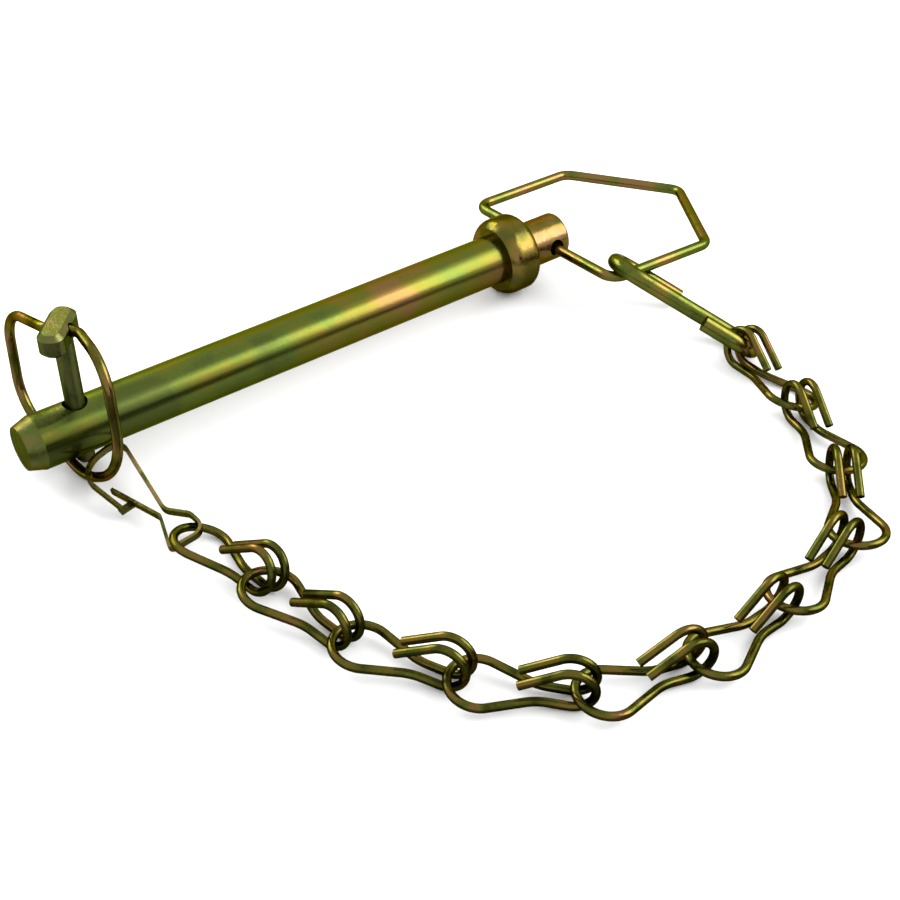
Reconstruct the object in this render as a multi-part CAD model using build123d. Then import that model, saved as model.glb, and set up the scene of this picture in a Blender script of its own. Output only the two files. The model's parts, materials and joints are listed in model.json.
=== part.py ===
from build123d import *
import os
from math import asin, cos, degrees, radians, sin, sqrt, tan

os.makedirs("parts", exist_ok=True)

# Swivel hitch pin: a drop-forged pin with a collar, a swinging wire handle, and a linch pin
# kept on it by a snap connector, ten double-hook chain links and an S-hook.
# Millimetres, +Z up. The pin lies along X: its collar's bearing face is at x = 0, its shank
# runs to -X and its head to +X. The Y axis is the handle's side to side.

# ---- Driving sizes -------------------------------------------------------------------
SHANK_D = 15.88              # 5/8 in bar
WORKING_LENGTH = 144.9       # bearing face to the linch pin's hole
NOSE_LENGTH = 17.5           # linch pin's hole to the end of the nose
NOSE_CHAMFER = (4.6, 1.5)    # along the shank, off the radius
COLLAR_R = 12.5
COLLAR_FACE_R = 10.5         # flat bearing face, out to where the rim starts to round
COLLAR_RIM = (4.0, 8.3)      # the full-radius band, from and to
COLLAR_STEP_X = 10.9         # where the shoulder meets the head
COLLAR_STEP_R = 8.3
HEAD_R = 7.5
HEAD_END_X = 26.6
HEAD_EDGE = 1.0              # rounding of the head's end
CROSS_HOLE_X = 21.0          # the handle's hole
CROSS_HOLE_D = 5.4
LINCH_HOLE_D = 7.1
PIN_ROLL = 3.0               # the pin has rolled this far, so both holes lean, degrees

HANDLE_WIRE = 3.4
HANDLE_HALF_WIDTH = 34.6
HANDLE_SIDE = 40.0           # length of a side, base to shoulder
HANDLE_SHOULDER = 35.4       # half-width at the shoulders
HANDLE_REACH = 61.8          # base to apex
HANDLE_BEND = 5.0
HANDLE_DROP = 0.6            # the wire hangs this far below the middle of its hole
HANDLE_ROLL = 4.2            # near side up, degrees
HANDLE_TILT = 1.5            # apex down, degrees
HANDLE_BUTT = 0.8            # gap between the wire's two ends, inside the head

LINCH_D = 5.5
LINCH_TIP_Z = -12.1
LINCH_TIP_ROUND = 2.2
BLOCK_LONG = 16.9            # the linch pin's head
BLOCK_WIDE = 7.4
BLOCK_TOP_Z = 34.5
BLOCK_TALL = 7.0
BLOCK_OFFSET = 0.9           # of its middle from the shank's, to its far side
BLOCK_TURN = 48.0            # of its long side, from +X, degrees
BLOCK_EDGE = 1.4
SOCKET_TURN = 118.0          # of the ring's two sockets, from +X, degrees
SOCKET_OFFSET = 0.9          # of their line from the shank's middle
NEAR_SOCKET_Z = 31.8         # the ring's two sockets are at different heights
FAR_SOCKET_Z = 30.0
SOCKET_CLEAR = 0.45          # all round the ring's wire in a socket
SOCKET_GAP = 1.6             # metal left between the two ends of the ring

RING_WIRE = 2.9
RING_TURN = 98.0             # of its plane, from +X, degrees
RING_LEAN = 5.7              # of its plane, lower edge towards the nose, degrees
RING_TOP_Z = 34.0            # where its plane meets the linch pin's middle

STRIP_THICK = 0.9            # snap connector
STRIP_TALL = 2.0
CONNECTOR_HEADING = -85.6
CONNECTOR_ROLL = -9.6
CONNECTOR_DIP = 2.8          # chain end down, degrees

CHAIN_WIRE = 2.3
LINK_BOW_R = 7.4             # middle line of the round end
LINK_TAPER = 22.0            # of the sides, from the bow to the neck, degrees
LINK_LEG_GAP = 4.7           # between the middles of the two legs
LINK_EYE_X = 21.34           # bow's middle to the eyes' middle
LINK_EYE_R = 5.72
LINK_TAIL_DIP = 34.7
LINK_TAIL = 10.8
LINK_NECK_BEND = 14.0
LINK_CLEAR = 0.45            # between a bow and the eyes that hold it

S_HOOK_ROD = 5.0
S_HOOK_BEND = 8.64
S_HOOK_UPPER_TAIL = 15.8     # past the upper bend's middle
S_HOOK_LOWER_TAIL = 9.8      # past the lower bend's middle
S_HOOK_HOLD = 42.5           # where the last link holds it, round from its end, degrees

# ---- Worked-out places ---------------------------------------------------------------
FLOOR_Z = -COLLAR_R          # what it lies on: the collar's rim touches it
LINCH_X = -WORKING_LENGTH
NOSE_X = LINCH_X - NOSE_LENGTH
SHANK_R = SHANK_D / 2
CHAIN_R = CHAIN_WIRE / 2

# How the chain lies: each link's heading from +X and its roll (left side down), in degrees,
# then how far past the middle of its eyes, and to their left, it holds the next bow.
CHAIN_LAY = (
    (-79.5, 19.4, -1.68, -1.11),
    (-76.9, 8.2, 1.69, 0.37),
    (-59.3, 4.0, 1.47, -0.28),
    (-44.1, -3.1, 1.45, 0.89),
    (-11.8, -1.2, 1.64, -0.46),
    (5.7, -2.6, 1.98, 0.18),
    (11.8, 3.0, 2.19, -0.07),
    (51.9, 1.6, 2.27, -0.32),
    (70.3, -2.6, 1.37, -1.46),
    (86.4, -15.4, -0.69, 0.00),
)
FIRST_BOW = Vector(-137.75, -53.46, FLOOR_Z + 3.7)
CONNECTOR_PLACE = Vector(-143.75, -7.38, FLOOR_Z + 6.45)
GRIP_X = 29.4                # where the S-hook holds the handle's near side
GRIP_SLACK = 1.68            # from the handle's wire to the inside of the S-hook's bend
GRIP_ASIDE = -0.69           # of the bend's middle from the wire, towards the tails
S_HOOK_FACING = Vector(0.708, 0.487, -0.512)    # way to its tails from its main leg


# ---- Shapes --------------------------------------------------------------------------
def bent_path(points, radii):
    """The middle line of a bent wire: straight runs joined by tangent arcs."""
    points = [Vector(*point) for point in points]
    edges = []
    start = points[0]
    for before, corner, after, radius in zip(points, points[1:], points[2:], radii):
        way_in = (corner - before).normalized()
        way_out = (after - corner).normalized()
        half_turn = radians(way_in.get_angle(way_out)) / 2
        reach = radius * tan(half_turn)
        begin = corner - way_in * reach
        end = corner + way_out * reach
        inward = (way_out - way_in).normalized()
        middle = corner + inward * (radius / cos(half_turn) - radius)
        if (begin - start).length > 0.001:
            edges.append(Edge.make_line(start, begin))
        edges.append(Edge.make_three_point_arc(begin, middle, end))
        start = end
    if (points[-1] - start).length > 0.001:
        edges.append(Edge.make_line(start, points[-1]))
    return Wire(edges)


def bent_wire(points, radii, diameter):
    """Round wire bent along points."""
    path = bent_path(points, radii)
    section = Plane(origin=path @ 0, z_dir=path % 0) * Circle(diameter / 2)
    return sweep(section, path=path)


def lean(heading, dip, roll):
    """Directions of a lying piece: along it, and its upper side, from degrees."""
    along = Vector(
        cos(radians(heading)) * cos(radians(dip)),
        sin(radians(heading)) * cos(radians(dip)),
        -sin(radians(dip)),
    )
    left = Vector(-sin(radians(heading)), cos(radians(heading)), 0)
    upper = along.cross(left) * cos(radians(roll)) + left * sin(radians(roll))
    return along, upper


def hitch_pin():
    """Shank, collar and head, upset from one bar, with the two cross holes."""
    chamfer_run, chamfer_drop = NOSE_CHAMFER
    rim_start, rim_end = COLLAR_RIM
    with BuildSketch(Plane.XZ) as half:
        with BuildLine():
            Polyline(
                (0, COLLAR_FACE_R),
                (0, SHANK_R),
                (NOSE_X + chamfer_run, SHANK_R),
                (NOSE_X, SHANK_R - chamfer_drop),
                (NOSE_X, 0),
                (HEAD_END_X, 0),
                (HEAD_END_X, HEAD_R),
                (COLLAR_STEP_X, HEAD_R),
                (COLLAR_STEP_X, COLLAR_STEP_R),
            )
            rim_round = (rim_start, COLLAR_R)
            TangentArc(rim_round, (0, COLLAR_FACE_R), tangent=(-1, 0))
            Line(rim_round, (rim_end, COLLAR_R))
            TangentArc((rim_end, COLLAR_R), (COLLAR_STEP_X, COLLAR_STEP_R), tangent=(1, 0))
        make_face()
    body = revolve(half.sketch, Axis.X)
    end_edge = body.edges().filter_by(GeomType.CIRCLE).sort_by(Axis.X)[-1]
    body = fillet(end_edge, HEAD_EDGE)
    across = Plane((CROSS_HOLE_X, 0, 0), x_dir=(1, 0, 0), z_dir=(0, 1, 0)) * Cylinder(
        CROSS_HOLE_D / 2, 4 * HEAD_R
    )
    down = Pos(LINCH_X, 0, 0) * Cylinder(LINCH_HOLE_D / 2, 4 * SHANK_R)
    body -= across
    body -= down
    return Rot(X=-PIN_ROLL) * body


def handle_plane():
    """The handle's own plane: x to its apex, y along its base."""
    roll = radians(HANDLE_ROLL)
    tilt = radians(HANDLE_TILT)
    base = Vector(0, cos(roll), -sin(roll))
    out = Vector(cos(tilt), 0, -sin(tilt))
    return Plane((CROSS_HOLE_X, 0, -HANDLE_DROP), x_dir=out, z_dir=out.cross(base))


def handle():
    """Five-sided wire handle; its ends meet inside the head's hole."""
    corners = (
        (0, HANDLE_BUTT / 2),
        (0, HANDLE_HALF_WIDTH),
        (HANDLE_SIDE, HANDLE_SHOULDER),
        (HANDLE_REACH, 0),
        (HANDLE_SIDE, -HANDLE_SHOULDER),
        (0, -HANDLE_HALF_WIDTH),
        (0, -HANDLE_BUTT / 2),
    )
    flat = bent_wire(corners, [HANDLE_BEND] * 5, HANDLE_WIRE)
    return handle_plane() * flat


def socket_line(height):
    """Plane on the ring's pivot line at a height: its z runs to the far socket."""
    turn = radians(SOCKET_TURN)
    way = Vector(cos(turn), sin(turn), 0)
    side = way.cross(Vector(0, 0, 1))
    return Plane(Vector(LINCH_X, 0, height) + side * SOCKET_OFFSET, z_dir=way)


def linch_ring():
    """Spring ring: hand-formed loop round the shank, both ends in the linch pin's head."""
    turn = radians(RING_TURN)
    level = Vector(cos(turn), sin(turn), 0)
    lean_way = level.cross(Vector(0, 0, 1))
    rise = Vector(0, 0, cos(radians(RING_LEAN))) + lean_way * sin(radians(RING_LEAN))
    near = socket_line(NEAR_SOCKET_Z)
    far = socket_line(FAR_SOCKET_Z)
    loop = (
        (-19.8, 30.4),
        (-25.9, -1.0),
        (-6.5, -12.5),
        (24.2, -3.8),
        (28.0, 25.4),
    )
    top = Vector(LINCH_X, 0, RING_TOP_Z)
    bent = [top + level * across + rise * (up - RING_TOP_Z) for across, up in loop]
    corners = [
        near.origin - near.z_dir * SOCKET_GAP / 2,
        near.origin - near.z_dir * 5.2,
        *bent,
        far.origin + far.z_dir * 7.0,
        far.origin + far.z_dir * SOCKET_GAP / 2,
    ]
    bends = (3.5, 12.0, 19.0, 15.0, 14.0, 10.0, 6.0)
    return bent_wire(corners, bends, RING_WIRE)


def linch_pin():
    """Plain shank with a rounded tip, an oblong head and two sockets for the ring."""
    shank_long = BLOCK_TOP_Z - BLOCK_EDGE - LINCH_TIP_Z
    shank = Pos(LINCH_X, 0, LINCH_TIP_Z + shank_long / 2) * Cylinder(LINCH_D / 2, shank_long)
    shank = fillet(shank.edges().sort_by(Axis.Z)[0], LINCH_TIP_ROUND)
    outline = RectangleRounded(BLOCK_LONG, BLOCK_WIDE, BLOCK_WIDE * 0.44)
    block = extrude(outline, BLOCK_TALL)
    block = chamfer(block.faces().sort_by(Axis.Z)[-1].edges(), BLOCK_EDGE)
    block = chamfer(block.faces().sort_by(Axis.Z)[0].edges(), BLOCK_EDGE)
    block = Rot(Z=BLOCK_TURN) * (Pos(0, BLOCK_OFFSET, 0) * block)
    body = shank + Pos(LINCH_X, 0, BLOCK_TOP_Z - BLOCK_TALL) * block
    socket_r = RING_WIRE / 2 + SOCKET_CLEAR
    bore = Cylinder(socket_r, BLOCK_LONG, align=(Align.CENTER, Align.CENTER, Align.MIN))
    far = socket_line(FAR_SOCKET_Z)
    near = socket_line(NEAR_SOCKET_Z)
    stop = SOCKET_GAP / 2 - SOCKET_CLEAR
    body -= Plane(far.origin + far.z_dir * stop, z_dir=far.z_dir) * bore
    body -= Plane(near.origin - near.z_dir * stop, z_dir=-near.z_dir) * bore
    return body


def connector_plane():
    """The snap connector's own plane: x from its ring end to its chain end."""
    along, upper = lean(CONNECTOR_HEADING, CONNECTOR_DIP, CONNECTOR_ROLL)
    return Plane(CONNECTOR_PLACE, x_dir=along, z_dir=upper)


def snap_connector():
    """Flat spring strip on edge: a loop for the ring, a neck and an eye for the chain."""
    corners = (
        (14.4, -4.8),
        (31.9, -0.7),
        (43.4, -5.2),
        (44.4, 5.6),
        (37.0, 5.5),
        (30.9, 1.4),
        (-0.6, 7.4),
        (1.4, -8.2),
        (22.0, -6.4),
    )
    bends = (1.6, 1.2, 3.4, 3.0, 4.0, 3.8, 8.4)
    path = bent_path([(x, y, 0) for x, y in corners], bends)
    section = Plane(origin=path @ 0, x_dir=(0, 0, 1), z_dir=path % 0) * Rectangle(
        STRIP_TALL, STRIP_THICK
    )
    strip = sweep(section, path=path)
    lip_low = -STRIP_TALL / 2 - STRIP_THICK - 0.3
    lip = Pos(20.9, -4.9, lip_low + STRIP_THICK / 2) * Box(2.2, 4.1, STRIP_THICK)
    wall = Pos(20.9, -6.5, lip_low + STRIP_TALL / 2) * Box(2.2, STRIP_THICK, STRIP_TALL)
    return connector_plane() * (strip + lip + wall)


def link_half(side):
    """Middle line of one half of a link, from its bow to the end of its hook."""
    taper = radians(LINK_TAPER)
    neck_y = LINK_LEG_GAP / 2
    bow_y = LINK_BOW_R * tan((radians(90) + taper) / 2)
    neck_x = -LINK_BOW_R + (bow_y - neck_y) / tan(taper)
    dip = radians(LINK_TAIL_DIP)
    far_x = LINK_EYE_X + LINK_EYE_R
    top_z = LINK_EYE_R + LINK_EYE_R * tan((radians(90) + dip) / 2)
    turn_x = LINK_EYE_X - LINK_EYE_R * sin(dip)
    turn_z = LINK_EYE_R + LINK_EYE_R * cos(dip)
    return (
        (-LINK_BOW_R, side * bow_y, 0),
        (neck_x, side * neck_y, 0),
        (far_x, side * neck_y, 0),
        (far_x, side * neck_y, top_z),
        (turn_x - LINK_TAIL * cos(dip), side * neck_y, turn_z - LINK_TAIL * sin(dip)),
    )


def chain_link():
    """One double-hook link: a round bow, a neck, and two hooks curled over."""
    left = link_half(1)
    right = link_half(-1)
    half_bends = [LINK_BOW_R, LINK_NECK_BEND, LINK_EYE_R, LINK_EYE_R]
    return bent_wire(left[::-1] + right, half_bends[::-1] + half_bends, CHAIN_WIRE)


def seat_in_eye(past_middle):
    """Height over the legs at which a link's eyes hold the next bow."""
    free = LINK_EYE_R - CHAIN_WIRE - LINK_CLEAR
    if past_middle <= 0:
        return LINK_EYE_R - free
    return LINK_EYE_R - sqrt(free**2 - past_middle**2)


def chain_planes():
    """Where each link lies: its hooks on the floor, its bow in the link before it."""
    bow_back = sqrt(LINK_BOW_R**2 - (LINK_LEG_GAP / 2) ** 2)
    planes = []
    middle = FIRST_BOW
    for number, (heading, roll, past_middle, sway) in enumerate(CHAIN_LAY):
        rest_z = FLOOR_Z + CHAIN_R + LINK_LEG_GAP / 2 * abs(sin(radians(roll)))
        if number == 0:
            dip = asin((middle.Z - rest_z) / LINK_EYE_X)
        else:
            turn = radians(CHAIN_LAY[number - 1][0] - heading)
            side_drop = sin(radians(roll)) * bow_back * sin(turn)
            reach = LINK_EYE_X + bow_back * cos(turn)
            dip = asin((seat.Z - side_drop - rest_z) / reach)
            along, upper = lean(heading, degrees(dip), roll)
            left = upper.cross(along)
            middle = seat + along * (bow_back * cos(turn)) + left * (bow_back * sin(turn))
        along, upper = lean(heading, degrees(dip), roll)
        plane = Plane(middle, x_dir=along, z_dir=upper)
        planes.append(plane)
        hold = (LINK_EYE_X + past_middle, sway, seat_in_eye(past_middle))
        seat = plane.from_local_coords(hold)
    return planes


def grip_point():
    """Middle of the handle's wire where the S-hook holds its near side."""
    out = GRIP_X - CROSS_HOLE_X
    flare = (HANDLE_SHOULDER - HANDLE_HALF_WIDTH) * out / HANDLE_SIDE
    return handle_plane().from_local_coords((out, -HANDLE_HALF_WIDTH - flare, 0))


def s_hook_plane(last_link, hold_past):
    """The S-hook's own plane, from the handle's side to the last link's eyes."""
    grip = grip_point()
    held = last_link.from_local_coords((LINK_EYE_X + hold_past, 0, LINK_EYE_R))
    slack = S_HOOK_BEND - S_HOOK_ROD / 2 - HANDLE_WIRE / 2 - GRIP_SLACK
    straight = (held - grip).normalized()
    facing = S_HOOK_FACING - straight * S_HOOK_FACING.dot(straight)
    upper_bend = grip + straight * slack + facing.normalized() * GRIP_ASIDE
    span = held - upper_bend
    straight = span.normalized()
    facing = S_HOOK_FACING - straight * S_HOOK_FACING.dot(straight)
    across = facing.normalized()
    offset = S_HOOK_BEND * (2 + sin(radians(S_HOOK_HOLD)))
    run = sqrt(span.length**2 - offset**2)
    cosine = run / span.length
    sine = offset / span.length
    along = straight * cosine + across * sine
    tails = across * cosine - straight * sine
    plane = Plane(upper_bend, x_dir=along, z_dir=along.cross(tails))
    return plane, run - S_HOOK_BEND * cos(radians(S_HOOK_HOLD))


def s_hook(last_link):
    """Round rod bent to an S; both tails stop short of the middle."""
    plane, run = s_hook_plane(last_link, CHAIN_LAY[-1][2])
    bend = S_HOOK_BEND
    corners = (
        (S_HOOK_UPPER_TAIL, bend, 0),
        (-bend, bend, 0),
        (-bend, -bend, 0),
        (run + bend, -bend, 0),
        (run + bend, -3 * bend, 0),
        (run - S_HOOK_LOWER_TAIL, -3 * bend, 0),
    )
    return plane * bent_wire(corners, [bend] * 4, S_HOOK_ROD)


# ---- Files ---------------------------------------------------------------------------
links = chain_planes()
pieces = {
    "hitch_pin": hitch_pin(),
    "handle": handle(),
    "linch_pin": linch_pin(),
    "linch_ring": linch_ring(),
    "snap_connector": snap_connector(),
    "s_hook": s_hook(links[-1]),
}
link = chain_link()
for number, plane in enumerate(links, start=1):
    pieces[f"chain_link_{number:02d}"] = plane * link

for name, piece in pieces.items():
    export_step(piece, f"parts/{name}.step")
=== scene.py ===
"""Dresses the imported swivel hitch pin: zinc-plated forging, wire, strip and chain.

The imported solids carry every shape, and this file moves none of them. It gives each its plated
finish, with the pits and lines that plating, drawing and forging leave, and stands the whole
in a plain studio. Lengths are in metres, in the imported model's own frame: the pin lies along X,
its collar's bearing face is at x = 0, and +Z is up.
"""

from __future__ import annotations

import json
import logging
import math
from dataclasses import dataclass, field
from enum import Enum
from typing import Any

import bpy
from mathutils import Euler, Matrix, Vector

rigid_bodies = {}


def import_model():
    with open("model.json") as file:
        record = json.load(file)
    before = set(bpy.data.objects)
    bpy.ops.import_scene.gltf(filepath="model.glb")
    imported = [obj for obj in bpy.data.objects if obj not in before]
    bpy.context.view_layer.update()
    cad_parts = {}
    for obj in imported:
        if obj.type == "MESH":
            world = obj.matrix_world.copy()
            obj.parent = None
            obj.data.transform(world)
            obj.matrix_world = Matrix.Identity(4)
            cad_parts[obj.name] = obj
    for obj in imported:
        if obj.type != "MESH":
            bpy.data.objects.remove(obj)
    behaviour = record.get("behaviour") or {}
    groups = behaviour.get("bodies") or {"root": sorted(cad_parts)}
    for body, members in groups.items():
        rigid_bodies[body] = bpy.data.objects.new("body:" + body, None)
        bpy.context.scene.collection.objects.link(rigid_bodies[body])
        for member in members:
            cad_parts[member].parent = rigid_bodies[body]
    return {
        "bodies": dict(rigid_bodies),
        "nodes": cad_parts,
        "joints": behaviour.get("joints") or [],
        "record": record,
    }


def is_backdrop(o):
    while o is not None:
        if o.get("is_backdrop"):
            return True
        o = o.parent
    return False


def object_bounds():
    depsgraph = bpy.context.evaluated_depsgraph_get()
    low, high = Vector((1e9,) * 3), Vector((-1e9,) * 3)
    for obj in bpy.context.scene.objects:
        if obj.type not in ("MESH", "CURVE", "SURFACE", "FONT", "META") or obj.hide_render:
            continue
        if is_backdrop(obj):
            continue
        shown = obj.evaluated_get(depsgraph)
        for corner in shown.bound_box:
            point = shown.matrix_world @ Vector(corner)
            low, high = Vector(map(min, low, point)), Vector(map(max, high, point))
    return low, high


LOG = logging.getLogger("hitch_pin")
MM = 0.001
Colour = tuple[float, float, float]

# How a plated film's colour is made up: shares of its broad, lengthwise and fine lumps, and
# the part of their sum that runs through all of its tints.
BROAD_SHARE = 0.52
ALONG_SHARE = 0.38
FINE_SHARE = 0.10
FILM_THIN = 0.28
FILM_THICK = 0.72

# Pits: their size, the size of the patches they gather in, and how they look.
PIT_SIZE = 0.8 * MM
PIT_PATCH = 7.0 * MM
PIT_EDGE = 0.50
PIT_SPREAD = 0.10
PIT_SOFTNESS = 0.06
PIT_COVER = 0.65
PIT_TONE = 0.30
PIT_ROUGHNESS = 0.25

# Surface: where smooth turns to dull, and the pitch of its lines and waves.
SHINE_SMOOTH = 0.35
SHINE_DULL = 0.68
LINE_PITCH = 0.55 * MM
WAVE_PITCH = 4.5 * MM
WAVE_HEIGHT = 3.0


# ---- Finishes --------------------------------------------------------------------------
class Grain(Enum):
    """Which way the marks of making run on a piece."""

    DRAWN = "drawn"      # lengthwise lines of cold-drawn bar, along X
    FORGED = "forged"    # scale and die marks, the same every way
    WIRE = "wire"        # short mottling of plated wire


@dataclass(frozen=True)
class Tints:
    """The colours that one batch of yellow passivated zinc runs through.

    Attributes:
        deep: the thin, dark olive places.
        green: the green cast next to them.
        straw: the plain yellow-green of most of the surface.
        gold: the thicker, warmer places.
        rose: the pink-brown bloom of the thickest film.
    """

    deep: Colour = (0.084, 0.108, 0.024)
    green: Colour = (0.104, 0.140, 0.025)
    straw: Colour = (0.140, 0.141, 0.021)
    gold: Colour = (0.168, 0.138, 0.024)
    rose: Colour = (0.212, 0.126, 0.040)

    def stops(self) -> list[tuple[float, Colour]]:
        """The tints in order of film thickness, with their places on a ramp."""
        return [
            (0.12, self.deep),
            (0.34, self.green),
            (0.54, self.straw),
            (0.74, self.gold),
            (0.93, self.rose),
        ]


class NodeSheet:
    """A material's node tree with short ways to add and wire its nodes."""

    def __init__(self, name: str) -> None:
        """Starts an empty material.

        Args:
            name: the material's name.
        """
        self.material = bpy.data.materials.new(name)
        self.material.use_nodes = True
        self.tree = self.material.node_tree
        self.tree.nodes.clear()

    def add(self, kind: str, **settings: Any) -> bpy.types.Node:
        """Adds a node and sets its plain properties.

        Args:
            kind: the node's bl_idname.
            settings: property names and values.

        Returns:
            The new node.
        """
        node = self.tree.nodes.new(kind)
        for name, value in settings.items():
            setattr(node, name, value)
        return node

    def wire(self, out: bpy.types.NodeSocket, into: bpy.types.NodeSocket) -> None:
        """Joins an output to an input."""
        self.tree.links.new(out, into)

    def noise(
        self, where: bpy.types.NodeSocket, scale: float, detail: float, distortion: float = 0.0
    ) -> bpy.types.NodeSocket:
        """Adds a noise texture.

        Args:
            where: the coordinates it reads.
            scale: lumps per metre.
            detail: octaves of finer lumps.
            distortion: how far the lumps are pulled out of shape.

        Returns:
            Its grey output.
        """
        node = self.add("ShaderNodeTexNoise")
        node.inputs["Scale"].default_value = scale
        node.inputs["Detail"].default_value = detail
        node.inputs["Distortion"].default_value = distortion
        self.wire(where, node.inputs["Vector"])
        return node.outputs["Fac"]

    def stretched(
        self, where: bpy.types.NodeSocket, scale: Colour, turn: Colour = (0.0, 0.0, 0.0)
    ) -> bpy.types.NodeSocket:
        """Turns and stretches coordinates.

        Args:
            where: the coordinates.
            scale: factor along each axis.
            turn: rotation about each axis, in radians.

        Returns:
            The new coordinates.
        """
        node = self.add("ShaderNodeMapping")
        node.inputs["Scale"].default_value = scale
        node.inputs["Rotation"].default_value = turn
        self.wire(where, node.inputs["Vector"])
        return node.outputs["Vector"]

    def math(
        self, operation: str, first: bpy.types.NodeSocket, second: float | bpy.types.NodeSocket
    ) -> bpy.types.NodeSocket:
        """Adds one step of arithmetic.

        Args:
            operation: the Math node's operation.
            first: its first input.
            second: its second input, a number or a socket.

        Returns:
            Its result.
        """
        node = self.add("ShaderNodeMath", operation=operation)
        self.wire(first, node.inputs[0])
        if isinstance(second, (int, float)):
            node.inputs[1].default_value = float(second)
        else:
            self.wire(second, node.inputs[1])
        return node.outputs[0]

    def spread(
        self, value: bpy.types.NodeSocket, low: float, high: float, to_low: float, to_high: float
    ) -> bpy.types.NodeSocket:
        """Maps a range of values smoothly to another range.

        Args:
            value: the value.
            low: start of its range.
            high: end of its range.
            to_low: result at the start.
            to_high: result at the end.

        Returns:
            The mapped value.
        """
        node = self.add("ShaderNodeMapRange", interpolation_type="SMOOTHSTEP")
        self.wire(value, node.inputs["Value"])
        for name, number in (
            ("From Min", low),
            ("From Max", high),
            ("To Min", to_low),
            ("To Max", to_high),
        ):
            node.inputs[name].default_value = number
        return node.outputs["Result"]

    def blend(
        self,
        factor: bpy.types.NodeSocket,
        first: bpy.types.NodeSocket | Colour,
        second: bpy.types.NodeSocket | Colour,
    ) -> bpy.types.NodeSocket:
        """Mixes two colours.

        Args:
            factor: share of the second.
            first: a colour or a socket.
            second: a colour or a socket.

        Returns:
            The mixed colour.
        """
        node = self.add("ShaderNodeMix", data_type="RGBA")
        self.wire(factor, node.inputs[0])
        for socket, value in ((node.inputs[6], first), (node.inputs[7], second)):
            if isinstance(value, tuple):
                socket.default_value = (*value, 1.0)
            else:
                self.wire(value, socket)
        return node.outputs[2]

    def ramp(
        self, value: bpy.types.NodeSocket, stops: list[tuple[float, Colour]]
    ) -> bpy.types.NodeSocket:
        """Turns a value into a colour.

        Args:
            value: the value.
            stops: places and colours along the ramp.

        Returns:
            The colour.
        """
        node = self.add("ShaderNodeValToRGB")
        ramp = node.color_ramp
        ramp.interpolation = "EASE"
        while len(ramp.elements) < len(stops):
            ramp.elements.new(0.5)
        for element, (place, colour) in zip(ramp.elements, stops):
            element.position = place
            element.color = (*colour, 1.0)
        self.wire(value, node.inputs["Fac"])
        return node.outputs["Color"]


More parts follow.
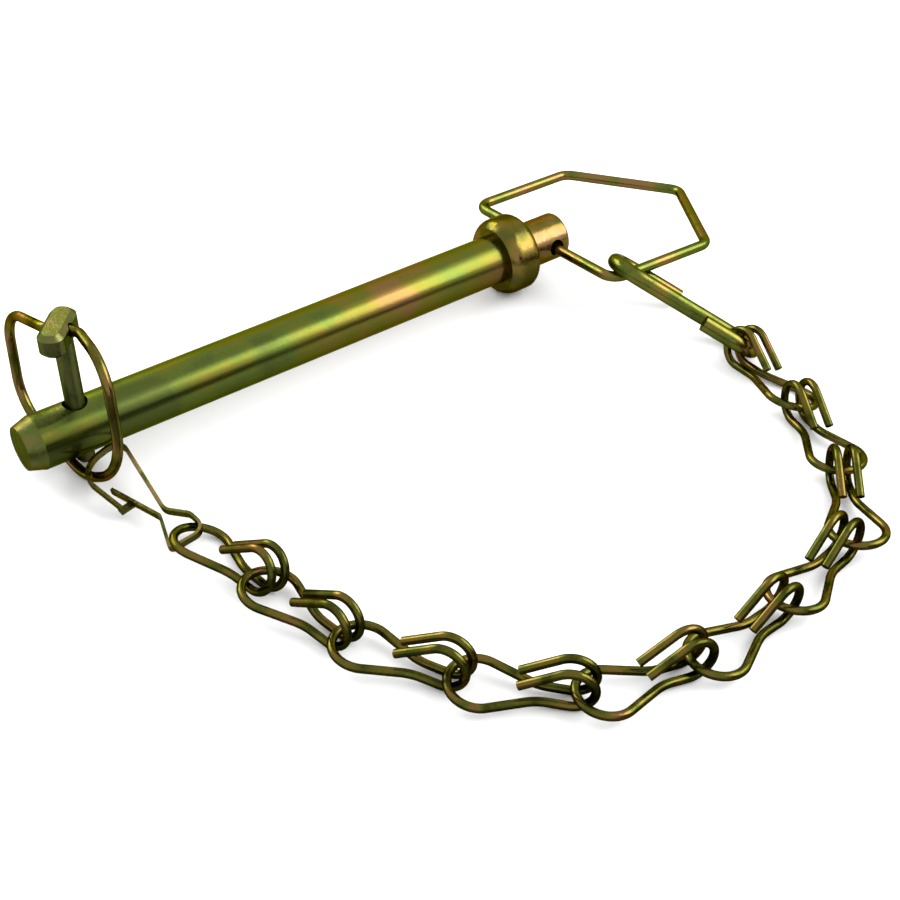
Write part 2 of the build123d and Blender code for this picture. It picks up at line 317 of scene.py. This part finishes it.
@dataclass(frozen=True)
class ZincPlating:
    """Yellow passivated zinc on steel.

    Attributes:
        name: the material's name.
        tints: its run of colours.
        grain: which way the marks of making run.
        patch: size of a patch of one tint.
        gloss: roughness of the brightest places.
        dull: roughness of the dullest places.
        relief: depth of the surface's marks.
        specks: share of the surface that is pitted or stained, from 0 to 1.
        edge: the tint that it mirrors at a glancing angle.
        warm_from: where along X its film begins to thicken.
        warm_to: where along X it is thickest.
        warmth: how much thicker it is there, as a share of the run of colours.
    """

    name: str
    tints: Tints = field(default_factory=Tints)
    grain: Grain = Grain.WIRE
    patch: float = 9.0 * MM
    gloss: float = 0.17
    dull: float = 0.33
    relief: float = 0.02 * MM
    specks: float = 0.25
    edge: Colour = (0.36, 0.38, 0.12)
    warm_from: float = 0.0
    warm_to: float = 0.0
    warmth: float = 0.0

    def _stretch(self) -> Colour:
        """Factors on each axis that turn round lumps into this grain's marks."""
        return {
            Grain.DRAWN: (0.045, 1.0, 1.0),
            Grain.FORGED: (1.0, 1.0, 1.0),
            Grain.WIRE: (1.0, 1.0, 1.0),
        }[self.grain]

    def _colour(
        self, sheet: NodeSheet, place: bpy.types.NodeSocket, marks: bpy.types.NodeSocket
    ) -> bpy.types.NodeSocket:
        """The film's colour: broad tints, pulled along the grain, with fine mottling.

        Args:
            sheet: the material.
            place: coordinates on the piece.
            marks: coordinates stretched along the grain.

        Returns:
            The colour.
        """
        broad = sheet.noise(place, 1.0 / self.patch, 1.0, 0.4)
        along = sheet.noise(marks, 1.5 / self.patch, 2.0, 0.2)
        fine = sheet.noise(place, 14.0 / self.patch, 2.0)
        share = sheet.math("MULTIPLY", broad, BROAD_SHARE)
        share = sheet.math("ADD", share, sheet.math("MULTIPLY", along, ALONG_SHARE))
        share = sheet.math("ADD", share, sheet.math("MULTIPLY", fine, FINE_SHARE))
        film = sheet.spread(share, FILM_THIN, FILM_THICK, 0.0, 1.0)
        if self.warmth:
            split = sheet.add("ShaderNodeSeparateXYZ")
            sheet.wire(place, split.inputs[0])
            warm = sheet.spread(split.outputs["X"], self.warm_from, self.warm_to, 0.0, 1.0)
            film = sheet.math("ADD", film, sheet.math("MULTIPLY", warm, self.warmth))
            film = sheet.math("SUBTRACT", film, 0.5 * self.warmth)
        return sheet.ramp(film, self.tints.stops())

    def _specks(self, sheet: NodeSheet, place: bpy.types.NodeSocket) -> bpy.types.NodeSocket:
        """Small dark pits and stains, as a share from 0 to 1.

        Args:
            sheet: the material.
            place: coordinates on the piece.

        Returns:
            The share.
        """
        grit = sheet.noise(place, 1.0 / PIT_SIZE, 2.0)
        where = sheet.noise(place, 1.0 / PIT_PATCH, 1.0)
        both = sheet.math("MULTIPLY", grit, where)
        edge = PIT_EDGE - PIT_SPREAD * self.specks
        return sheet.spread(both, edge, edge + PIT_SOFTNESS, 0.0, PIT_COVER)

    def material(self) -> bpy.types.Material:
        """Builds the finish.

        Returns:
            The material.
        """
        sheet = NodeSheet(self.name)
        place = sheet.add("ShaderNodeTexCoord").outputs["Object"]
        marks = sheet.stretched(place, self._stretch())
        colour = self._colour(sheet, place, marks)
        specks = self._specks(sheet, place)
        stain = tuple(PIT_TONE * part for part in self.tints.deep)
        colour = sheet.blend(specks, colour, stain)

        shine = sheet.noise(marks, 5.0 / self.patch, 3.0)
        rough = sheet.spread(shine, SHINE_SMOOTH, SHINE_DULL, self.gloss, self.dull)
        rough = sheet.math("ADD", rough, sheet.math("MULTIPLY", specks, PIT_ROUGHNESS))

        lines = sheet.noise(marks, 1.0 / LINE_PITCH, 3.0)
        waves = sheet.noise(place, 1.0 / WAVE_PITCH, 2.0)
        height = sheet.math("ADD", lines, sheet.math("MULTIPLY", waves, WAVE_HEIGHT))
        height = sheet.math("SUBTRACT", height, specks)
        bump = sheet.add("ShaderNodeBump")
        bump.inputs["Strength"].default_value = 1.0
        bump.inputs["Distance"].default_value = self.relief
        sheet.wire(height, bump.inputs["Height"])

        metal = sheet.add("ShaderNodeBsdfPrincipled")
        metal.inputs["Metallic"].default_value = 1.0
        metal.inputs["Specular Tint"].default_value = (*self.edge, 1.0)
        sheet.wire(colour, metal.inputs["Base Color"])
        sheet.wire(rough, metal.inputs["Roughness"])
        sheet.wire(bump.outputs["Normal"], metal.inputs["Normal"])
        out = sheet.add("ShaderNodeOutputMaterial")
        sheet.wire(metal.outputs["BSDF"], out.inputs["Surface"])
        return sheet.material


@dataclass(frozen=True)
class Finishes:
    """Every finish on the hitch pin."""

    bar: ZincPlating = ZincPlating(
        name="plated_bar",
        grain=Grain.DRAWN,
        patch=16.0 * MM,
        gloss=0.20,
        dull=0.31,
        relief=0.012 * MM,
        specks=0.55,
        edge=(0.50, 0.50, 0.24),
        warm_from=-150.0 * MM,
        warm_to=-20.0 * MM,
        warmth=0.55,
    )
    nose: ZincPlating = ZincPlating(
        name="plated_nose",
        tints=Tints(
            deep=(0.080, 0.096, 0.024),
            green=(0.098, 0.122, 0.028),
            straw=(0.120, 0.130, 0.034),
            gold=(0.142, 0.134, 0.038),
            rose=(0.160, 0.128, 0.044),
        ),
        grain=Grain.FORGED,
        patch=7.0 * MM,
        gloss=0.26,
        dull=0.40,
        relief=0.03 * MM,
        specks=0.4,
        edge=(0.40, 0.41, 0.20),
    )
    upset: ZincPlating = ZincPlating(
        name="plated_upset",
        tints=Tints(
            deep=(0.098, 0.092, 0.022),
            green=(0.125, 0.108, 0.018),
            straw=(0.170, 0.128, 0.025),
            gold=(0.212, 0.142, 0.038),
            rose=(0.245, 0.140, 0.060),
        ),
        grain=Grain.FORGED,
        patch=10.0 * MM,
        gloss=0.17,
        dull=0.30,
        relief=0.02 * MM,
        specks=0.35,
        edge=(0.42, 0.33, 0.12),
        warm_from=4.0 * MM,
        warm_to=22.0 * MM,
        warmth=0.30,
    )
    linch: ZincPlating = ZincPlating(
        name="plated_linch",
        tints=Tints(
            deep=(0.078, 0.090, 0.026),
            green=(0.100, 0.122, 0.034),
            straw=(0.125, 0.136, 0.042),
            gold=(0.142, 0.138, 0.042),
            rose=(0.165, 0.130, 0.050),
        ),
        grain=Grain.FORGED,
        patch=8.0 * MM,
        gloss=0.28,
        dull=0.44,
        relief=0.05 * MM,
        specks=0.3,
        edge=(0.34, 0.36, 0.16),
    )
    rod: ZincPlating = ZincPlating(
        name="plated_rod",
        tints=Tints(
            deep=(0.080, 0.096, 0.018),
            green=(0.112, 0.130, 0.022),
            straw=(0.155, 0.142, 0.028),
            gold=(0.190, 0.142, 0.034),
            rose=(0.220, 0.130, 0.048),
        ),
        patch=12.0 * MM,
        gloss=0.17,
        dull=0.30,
        edge=(0.38, 0.36, 0.14),
        warm_from=15.0 * MM,
        warm_to=75.0 * MM,
        warmth=0.2,
    )
    ring: ZincPlating = ZincPlating(
        name="plated_ring",
        tints=Tints(
            deep=(0.078, 0.066, 0.012),
            green=(0.105, 0.098, 0.018),
            straw=(0.150, 0.124, 0.026),
            gold=(0.205, 0.130, 0.040),
            rose=(0.250, 0.128, 0.060),
        ),
        patch=9.0 * MM,
        gloss=0.14,
        dull=0.26,
        edge=(0.40, 0.33, 0.12),
    )
    strip: ZincPlating = ZincPlating(
        name="plated_strip",
        tints=Tints(
            deep=(0.080, 0.080, 0.016),
            green=(0.120, 0.118, 0.024),
            straw=(0.170, 0.150, 0.036),
            gold=(0.215, 0.160, 0.050),
            rose=(0.225, 0.140, 0.056),
        ),
        patch=8.0 * MM,
        gloss=0.20,
        dull=0.32,
        edge=(0.40, 0.38, 0.16),
    )
    chain: ZincPlating = ZincPlating(
        name="plated_chain",
        tints=Tints(
            deep=(0.046, 0.044, 0.008),
            green=(0.070, 0.076, 0.012),
            straw=(0.108, 0.096, 0.016),
            gold=(0.150, 0.106, 0.022),
            rose=(0.165, 0.092, 0.028),
        ),
        patch=8.0 * MM,
        gloss=0.17,
        dull=0.30,
        edge=(0.40, 0.34, 0.14),
    )


class Dresser:
    """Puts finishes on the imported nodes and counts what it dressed."""

    def __init__(self, frame: dict[str, Any]) -> None:
        """Keeps the frame.
        """
        self.nodes: dict[str, bpy.types.Object] = frame["nodes"]
        self.made: dict[str, bpy.types.Material] = {}
        self.count = 0

    def material(self, finish: ZincPlating) -> bpy.types.Material:
        """The finish's material, built once.

        Args:
            finish: the finish.

        Returns:
            Its material.
        """
        if finish.name not in self.made:
            self.made[finish.name] = finish.material()
        return self.made[finish.name]

    def coat(self, node: str, finish: ZincPlating) -> bpy.types.Object:
        """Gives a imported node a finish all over.

        Args:
            node: the node's name.
            finish: its finish.

        Returns:
            The node's object.
        """
        piece = self.nodes[node]
        piece.data.materials.clear()
        piece.data.materials.append(self.material(finish))
        self.count += 1
        LOG.info("%s: %s", node, finish.name)
        return piece


# ---- Sub-assemblies ----------------------------------------------------------------------
@dataclass
class PinForging:
    """The hitch pin itself: drawn shank, upset collar and head.

    Attributes:
        node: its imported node.
        upset_from: where the upset metal begins, along X.
        nose_to: where the turned nose ends, along X.
    """

    node: str = "hitch_pin"
    upset_from: float = -1.0 * MM
    nose_to: float = -144.6 * MM

    def dress(self, dresser: Dresser, finishes: Finishes) -> None:
        """Plates the shank as drawn bar, and the nose, collar and head as forged metal.

        Args:
            dresser: puts the finishes on.
            finishes: the finishes.
        """
        mesh = dresser.coat(self.node, finishes.bar).data
        mesh.materials.append(dresser.material(finishes.upset))
        upset_slot = len(mesh.materials) - 1
        mesh.materials.append(dresser.material(finishes.nose))
        nose_slot = len(mesh.materials) - 1
        for polygon in mesh.polygons:
            if polygon.center.x > self.upset_from:
                polygon.material_index = upset_slot
            elif polygon.center.x < self.nose_to:
                polygon.material_index = nose_slot


@dataclass
class SwingHandle:
    """The five-sided wire handle that swings in the head."""

    node: str = "handle"

    def dress(self, dresser: Dresser, finishes: Finishes) -> None:
        """Plates the wire."""
        dresser.coat(self.node, finishes.rod)


@dataclass
class LinchPin:
    """The linch pin and the spring ring through its head."""

    pin: str = "linch_pin"
    ring: str = "linch_ring"

    def dress(self, dresser: Dresser, finishes: Finishes) -> None:
        """Plates the pin dull and the ring bright."""
        dresser.coat(self.pin, finishes.linch)
        dresser.coat(self.ring, finishes.ring)


@dataclass
class SnapConnector:
    """The flat spring strip between ring and chain."""

    node: str = "snap_connector"

    def dress(self, dresser: Dresser, finishes: Finishes) -> None:
        """Plates the strip."""
        dresser.coat(self.node, finishes.strip)


@dataclass
class HookChain:
    """The chain of double-hook links.

    Attributes:
        prefix: what the links' nodes begin with.
    """

    prefix: str = "chain_link_"

    def dress(self, dresser: Dresser, finishes: Finishes) -> None:
        """Plates every link."""
        for node in sorted(dresser.nodes):
            if node.startswith(self.prefix):
                dresser.coat(node, finishes.chain)


@dataclass
class SHook:
    """The S-hook between chain and handle."""

    node: str = "s_hook"

    def dress(self, dresser: Dresser, finishes: Finishes) -> None:
        """Plates the rod."""
        dresser.coat(self.node, finishes.rod)


# ---- Studio ------------------------------------------------------------------------------
@dataclass(frozen=True)
class SoftBox:
    """A lamp with a soft front.

    Attributes:
        name: the lamp's name.
        way: direction from the object to the lamp.
        distance: how far away it is.
        width: level size of its front.
        height: other size of its front.
        level: how bright its front is, where 1 is white.
    """

    name: str
    way: Colour
    distance: float
    width: float
    height: float
    level: float

    def build(self, aim: Vector) -> bpy.types.Object:
        """Makes the lamp and turns it to the object.

        Args:
            aim: the point it faces.

        Returns:
            The lamp.
        """
        data = bpy.data.lights.new(self.name, "AREA")
        data.shape = "RECTANGLE"
        data.size = self.width
        data.size_y = self.height
        data.energy = self.level * math.pi * self.width * self.height
        lamp = bpy.data.objects.new(self.name, data)
        bpy.context.scene.collection.objects.link(lamp)
        way = Vector(self.way).normalized()
        lamp.location = aim + way * self.distance
        lamp.rotation_euler = way.to_track_quat("Z", "Y").to_euler()
        return lamp


@dataclass
class Studio:
    """A pale floor, a white surround, soft lamps and the camera.

    Attributes:
        floor_size: side of the square floor.
        floor_colour: its paint.
        floor_reflection_shade: its paint as the metal mirrors it, grey: painted shade in its
            reflections.
        front_reflection_shade: darker still, out in front of the nose: a painted dark reflection
            along the shank's near side.
        front_slant: how far the darkening recedes for each metre to the right.
        front_from: how far in front it begins.
        front_to: how far in front it is darkest.
        surround: brightness of the room as a light.
        eye: where the camera stands.
        turn: the camera's Euler turn, in degrees.
        lens: its focal length, in mm.
        lamps: the lamps.
        flag: corners of the black flag that the metal mirrors, low in front.
        flag_colour: its felt.
        sensor: width of the camera's sensor, in mm.
        near: nearest that the camera sees.
        far: farthest that it sees.
    """

    floor_size: float = 8.0
    floor_colour: Colour = (0.86, 0.86, 0.86)
    floor_reflection_shade: Colour = (0.44, 0.44, 0.44)
    front_reflection_shade: Colour = (0.13, 0.13, 0.13)
    front_slant: float = 0.6
    front_from: float = 0.10
    front_to: float = 0.16
    surround: float = 1.4
    eye: Colour = (-0.2580, -0.3209, 0.2515)
    turn: Colour = (51.27, 0.0, -36.91)
    lens: float = 59.45
    lamps: tuple[SoftBox, ...] = (
        SoftBox("key", (0.66, -0.46, 0.64), 1.2, 0.96, 0.74, 5.2),
        SoftBox("back", (-0.18, 0.80, 0.48), 1.2, 0.86, 0.50, 6.0),
    )
    flag: tuple[Colour, ...] = (
        (-0.10, -0.60, -0.010),
        (0.45, -0.60, -0.010),
        (0.45, -0.60, 0.015),
        (0.02, -0.60, 0.215),
        (-0.10, -0.60, 0.220),
    )
    flag_colour: Colour = (0.02, 0.02, 0.02)
    sensor: float = 36.0
    near: float = 0.01
    far: float = 50.0

    def _sheet_object(
        self, name: str, points: list[Colour], material: bpy.types.Material
    ) -> bpy.types.Object:
        """Makes one flat face with a material.

        Args:
            name: its name.
            points: its corners, in order.
            material: its material.

        Returns:
            The object.
        """
        mesh = bpy.data.meshes.new(name)
        mesh.from_pydata(points, [], [tuple(range(len(points)))])
        mesh.materials.append(material)
        piece = bpy.data.objects.new(name, mesh)
        bpy.context.scene.collection.objects.link(piece)
        return piece

    def build_floor(self, low: Vector) -> None:
        """Lays the floor under the object, painted darker where the metal mirrors it: painted
        shade in its reflections.

        Args:
            low: the object's lowest corner.
        """
        sheet = NodeSheet("studio_paper_and_reflection_shade")
        paper = sheet.add("ShaderNodeBsdfDiffuse")
        rays = sheet.add("ShaderNodeLightPath").outputs["Is Glossy Ray"]
        split = sheet.add("ShaderNodeSeparateXYZ")
        sheet.wire(sheet.add("ShaderNodeTexCoord").outputs["Object"], split.inputs[0])
        right = sheet.math("MULTIPLY", split.outputs["X"], self.front_slant)
        ahead = sheet.math("MULTIPLY", sheet.math("ADD", right, split.outputs["Y"]), -1.0)
        front = sheet.spread(ahead, self.front_from, self.front_to, 0.0, 1.0)
        # For glossy rays the floor's paint turns grey, and near black out in front: painted
        # shade, seen only in the metal's reflections.
        mirrored = sheet.blend(front, self.floor_reflection_shade, self.front_reflection_shade)
        paint = sheet.blend(rays, self.floor_colour, mirrored)
        sheet.wire(paint, paper.inputs["Color"])
        out = sheet.add("ShaderNodeOutputMaterial")
        sheet.wire(paper.outputs["BSDF"], out.inputs["Surface"])
        half = self.floor_size / 2
        points = [(-half, -half, 0.0), (half, -half, 0.0), (half, half, 0.0), (-half, half, 0.0)]
        floor = self._sheet_object("studio_floor", points, sheet.material)
        floor.location.z = low.z
        floor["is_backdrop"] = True

    def build_flag(self) -> None:
        """Stands a black flag in front, low, where only the metal sees it."""
        sheet = NodeSheet("studio_felt")
        felt = sheet.add("ShaderNodeBsdfDiffuse")
        felt.inputs["Color"].default_value = (*self.flag_colour, 1.0)
        out = sheet.add("ShaderNodeOutputMaterial")
        sheet.wire(felt.outputs["BSDF"], out.inputs["Surface"])
        flag = self._sheet_object("studio_flag", list(self.flag), sheet.material)
        flag.visible_camera = False
        flag.visible_diffuse = False
        flag.visible_shadow = False
        flag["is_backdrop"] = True

    def build_surround(self) -> None:
        """Makes the room's light, white where it shows."""
        world = bpy.data.worlds.new("studio_room")
        bpy.context.scene.world = world
        world.use_nodes = True
        tree = world.node_tree
        tree.nodes.clear()
        rays = tree.nodes.new("ShaderNodeLightPath")
        seen = tree.nodes.new("ShaderNodeMath")
        seen.operation = "MAXIMUM"
        tree.links.new(rays.outputs["Is Camera Ray"], seen.inputs[0])
        mirrored = tree.nodes.new("ShaderNodeMath")
        mirrored.operation = "MAXIMUM"
        tree.links.new(rays.outputs["Is Glossy Ray"], mirrored.inputs[0])
        tree.links.new(rays.outputs["Is Transmission Ray"], mirrored.inputs[1])
        tree.links.new(mirrored.outputs[0], seen.inputs[1])
        strength = tree.nodes.new("ShaderNodeMapRange")
        strength.inputs["To Min"].default_value = self.surround
        strength.inputs["To Max"].default_value = 1.0
        tree.links.new(seen.outputs[0], strength.inputs["Value"])
        room = tree.nodes.new("ShaderNodeBackground")
        room.inputs["Color"].default_value = (1.0, 1.0, 1.0, 1.0)
        tree.links.new(strength.outputs["Result"], room.inputs["Strength"])
        out = tree.nodes.new("ShaderNodeOutputWorld")
        tree.links.new(room.outputs[0], out.inputs["Surface"])

    def build_camera(self) -> None:
        """Sets up the camera."""
        data = bpy.data.cameras.new("camera")
        data.lens = self.lens
        data.sensor_width = self.sensor
        data.clip_start = self.near
        data.clip_end = self.far
        camera = bpy.data.objects.new("camera", data)
        bpy.context.scene.collection.objects.link(camera)
        camera.location = self.eye
        camera.rotation_euler = Euler([math.radians(angle) for angle in self.turn])
        bpy.context.scene.camera = camera

    def build(self, low: Vector, high: Vector) -> None:
        """Builds the whole studio.

        Args:
            low: the object's lowest corner.
            high: its highest corner.
        """
        self.build_floor(low)
        self.build_flag()
        self.build_surround()
        aim = (low + high) / 2
        for lamp in self.lamps:
            lamp.build(aim)
        self.build_camera()
        bpy.context.scene.view_settings.view_transform = "Standard"
        LOG.info("studio: floor, surround, %d lamp(s) and camera", len(self.lamps))


def main() -> None:
    """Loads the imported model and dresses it."""
    logging.basicConfig(level=logging.INFO, format="%(name)s: %(message)s")
    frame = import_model()
    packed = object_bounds()
    finishes = Finishes()
    dresser = Dresser(frame)
    for assembly in (
        PinForging(),
        SwingHandle(),
        LinchPin(),
        SnapConnector(),
        HookChain(),
        SHook(),
    ):
        assembly.dress(dresser, finishes)
    Studio().build(*packed)
    LOG.info("dressed %d nodes", dresser.count)


if __name__ == "__main__":
    main()
